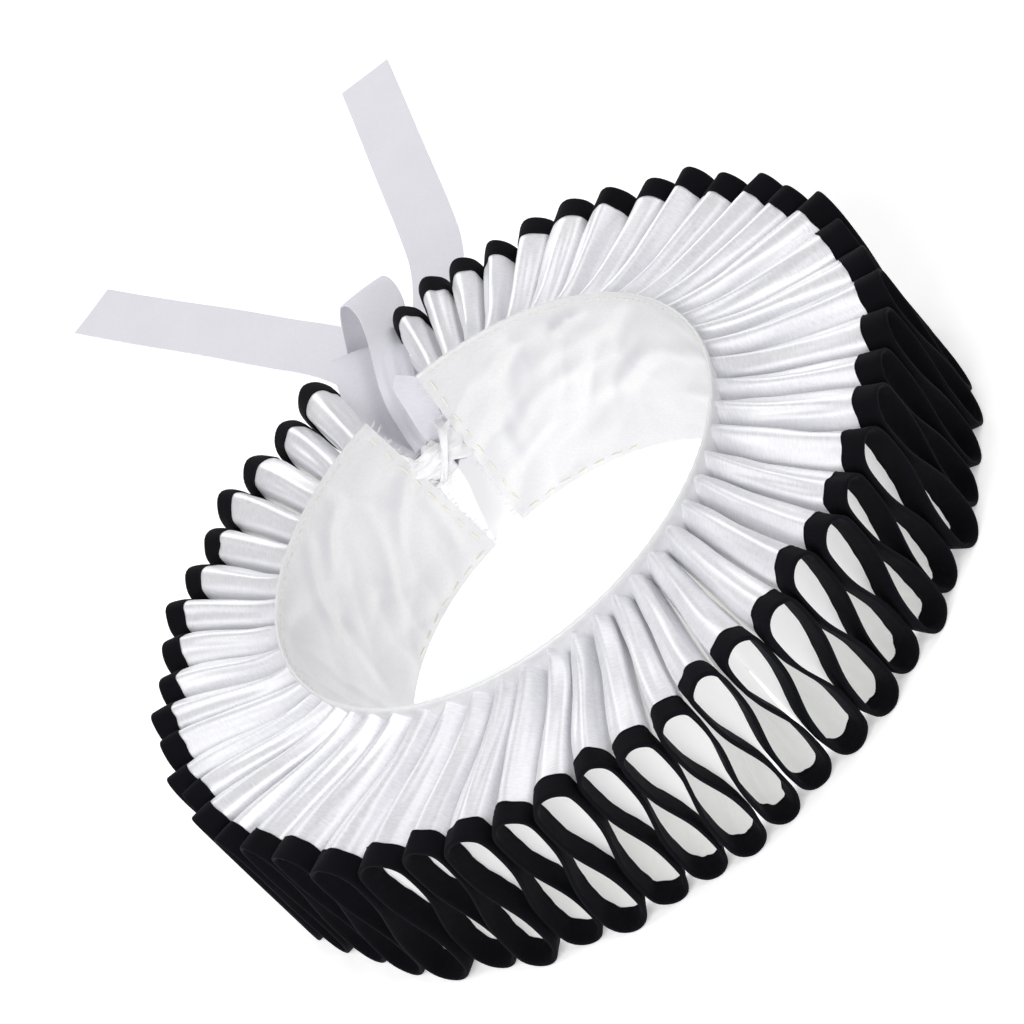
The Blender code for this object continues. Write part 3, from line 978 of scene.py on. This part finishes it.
# The strips that make the knot, from the band's ends to where they cross, in mm:
# x, y, z, width, then the way across the strip.
KNOT_STRIPS = {
    "Knot_Root_Left": (((-16.0, 84.8, 43.5, 9, 0.1, 0, 1), (-12.5, 82.2, 44.0, 11, 0.1, -0.1, 1),
                        (-8.5, 80.4, 44.5, 12, 0, -0.1, 1), (-5.0, 80.2, 44.5, 10, 0, 0, 1),
                        (-1.5, 82.5, 43.5, 8, 0, 0, 1)), 2.6, 0.75, 0),
    "Knot_Root_Right": (((6.4, 85.0, 42.0, 17, 0.1, 0, 1), (3.6, 82.4, 43.0, 16, 0, 0.1, 1),
                         (0.5, 81.2, 43.5, 12, 0, 0.1, 1), (-2.5, 81.4, 43.0, 8, 0, 0.1, 1),
                         (-6, 84.0, 41.5, 7, 0, 0.1, 1)), 2.3, 0.70, 0),
    "Knot_Wrap": (((3.6, 87.5, 51.0, 4, 0.8, 0, -0.6), (2.4, 82.0, 51.0, 3.2, 0.8, 0, -0.6),
                   (-1.0, 79.2, 47.0, 2.6, 0.8, 0, -0.6), (-5.0, 78.6, 42.0, 2.4, 0.8, 0, -0.6),
                   (-9.0, 79.0, 37.0, 2.6, 0.8, 0, -0.6), (-11.5, 82.0, 34.0, 3.2, 0.8, 0, -0.6),
                   (-11.5, 87.0, 32.5, 4, 0.8, 0, -0.6)), 0.9, 0.30, 0),
    "Knot_Flap": (((6.2, 92.8, 71.0, 7, 0.62, -0.20, -0.76), (4.1, 92.2, 64.8, 14, 0.62, -0.20, -0.76),
                   (1.7, 91.6, 54.1, 13, 0.60, -0.25, -0.76), (-1.1, 91.0, 45.6, 9.5, 0.55, -0.30, -0.78),
                   (-2.4, 90.4, 40.0, 6, 0.50, -0.35, -0.78)), 0.8, 0.25, 1.1),
    "Knot_Tab": (((-7.0, 84.0, 35.0, 10, 1, 0.1, 0.25), (-8.2, 83.6, 26.0, 10, 1, 0.1, 0.2),
                  (-10.4, 82.6, 16.0, 8, 1, 0.1, 0.1), (-11.7, 81.2, 7.0, 5, 1, 0.1, 0),
                  (-11.2, 80.4, 1.5, 2, 1, 0.1, 0)), 0.8, 0.2, 0),
}


def make_knot():
    """The knot: a small crumpled core with the ties' gathered ends crossed and wrapped round it."""
    bpy.ops.mesh.primitive_uv_sphere_add(segments=96, ring_count=64, radius=1.0)
    core = bpy.context.object
    core.name = core.data.name = "Knot_Core"
    points = np.array([v.co for v in core.data.vertices])
    x, y, z = points.T
    soft = 0.06 * np.sin(6 * z + 3 * x + 1.5 * np.sin(4 * y))
    fine = 0.04 * np.sin(9 * x - 6 * z + 2 * np.sin(5 * y))
    crumple = soft + fine - 0.06 * np.abs(np.sin(4 * y + 4 * z + 2 * x))
    points = points * (CORE_SHARE + crumple)[:, None] * KNOT_RADII + KNOT_CENTRE + RING_PLACE
    core.data.vertices.foreach_set("co", points.ravel())
    attribute = core.data.attributes.new("lay", "FLOAT_VECTOR", "POINT")
    attribute.data.foreach_set("vector", points.astype(np.float32).ravel())
    core.data.materials.append(knot_satin)
    core.data.shade_smooth()
    finish_piece(core, "ribbon", "Tie_Knot")
    for name, (rows, pleats, depth, teeth) in KNOT_STRIPS.items():
        upper, under, lay = gathered_strip(rows, pleats, depth, teeth)
        cloth = {"Knot_Tab": satin_back, "Knot_Flap": tie_ribbon}.get(name, knot_satin)
        strip = shell(name, upper, under, lay, [cloth])
        finish_piece(strip, "ribbon", "Tie_Knot")
    dice = random.Random(11)
    threads = []
    for place, away in (((-10, 79, 36), (0.9, -0.3, 0.1)), ((-9, 79, 34), (0.8, -0.4, -0.4)),
                        ((3, 82, 50), (0.4, -0.4, 0.5)), ((1, 81, 44), (0.7, -0.5, -0.3)),
                        ((-12, 82, 47), (-0.3, -0.5, 0.6))):
        threads += loose_threads(np.array(place) * MM + RING_PLACE, away, 9, 5 * MM, 1.3 * MM, dice)
    finish_piece(joined_threads("Knot_Fraying", threads, white_yarn), "ribbon", "Tie_Knot")


make_knot()


# Floor, light and camera.
FLOOR_SIZE = 8.0
FLOOR_BELOW = 0.25 * MM


def make_floor():
    bpy.ops.mesh.primitive_plane_add(size=FLOOR_SIZE, location=(0, 0, -FLOOR_BELOW))
    floor = bpy.context.object
    floor.name = "Floor"
    material = bpy.data.materials.new("Matt white paper")
    material.use_nodes = True
    shader = material.node_tree.nodes["Principled BSDF"]
    shader.inputs["Base Color"].default_value = colour("#FAFAFA")
    shader.inputs["Roughness"].default_value = 0.9
    shader.inputs["Specular IOR Level"].default_value = 0.1
    # Lit from below as on a light table, so that shadows on it stay pale.
    shader.inputs["Emission Color"].default_value = (1, 1, 1, 1)
    shader.inputs["Emission Strength"].default_value = 0.35
    floor.data.materials.append(material)


def add_softbox(name, place, aim, size, watts):
    light = bpy.data.lights.new(name, "AREA")
    light.shape = "SQUARE"
    light.size = size
    light.energy = watts
    lamp = bpy.data.objects.new(name, light)
    lamp.location = place
    lamp.rotation_euler = (Vector(aim) - Vector(place)).to_track_quat("-Z", "Y").to_euler()
    bpy.context.scene.collection.objects.link(lamp)


# Five softboxes stand round the ruff at about the camera's height, so that each fold has soft
# streaks along it: the way to each in degrees from +Y, its height and size in metres, and its watts.
SOFTBOX_AWAY = 1.35
SOFTBOXES = {
    "Back": (8, 0.95, 1.1, 11.8),
    "Right": (88, 0.90, 0.9, 7.5),
    "Left": (272, 0.95, 0.9, 7.5),
    "Front_Left": (205, 0.80, 0.8, 12.5),
    "Front_Right": (150, 0.95, 0.5, 4),
}


def light_studio():
    world = bpy.data.worlds.new("Studio")
    bpy.context.scene.world = world
    world.use_nodes = True
    world.node_tree.nodes["Background"].inputs["Color"].default_value = (1, 1, 1, 1)
    world.node_tree.nodes["Background"].inputs["Strength"].default_value = 0.15
    centre = tuple(RING_PLACE)
    for name, (degrees, height, size, watts) in SOFTBOXES.items():
        way = math.radians(degrees)
        place = (SOFTBOX_AWAY * math.sin(way), SOFTBOX_AWAY * math.cos(way), height)
        add_softbox(name, place, centre, size, watts)
    bpy.context.scene.view_settings.view_transform = "Standard"


def add_camera():
    elevation, roll = math.radians(ELEVATION), math.radians(ROLL)
    ahead = Vector((0, math.cos(elevation), -math.sin(elevation)))
    level = Vector((1, 0, 0))
    upright = level.cross(ahead)
    right = level * math.cos(roll) + upright * math.sin(roll)
    top = upright * math.cos(roll) - level * math.sin(roll)
    aim = right * PICTURE_CENTRE[0] + top * PICTURE_CENTRE[1]
    place = aim - ahead * DISTANCE
    turned = Matrix((right, top, -ahead)).transposed().to_4x4()
    turned.translation = place
    heading = Matrix.Rotation(math.radians(-HEADING), 4, "Z")
    lens = bpy.data.cameras.new("Camera")
    lens.sensor_width = PICTURE
    lens.lens = LENS
    lens.clip_start = 0.05
    camera = bpy.data.objects.new("Camera", lens)
    camera.matrix_world = Matrix.Translation(Vector(RING_PLACE)) @ heading @ turned
    bpy.context.scene.collection.objects.link(camera)
    bpy.context.scene.camera = camera


make_floor()
light_studio()
add_camera()
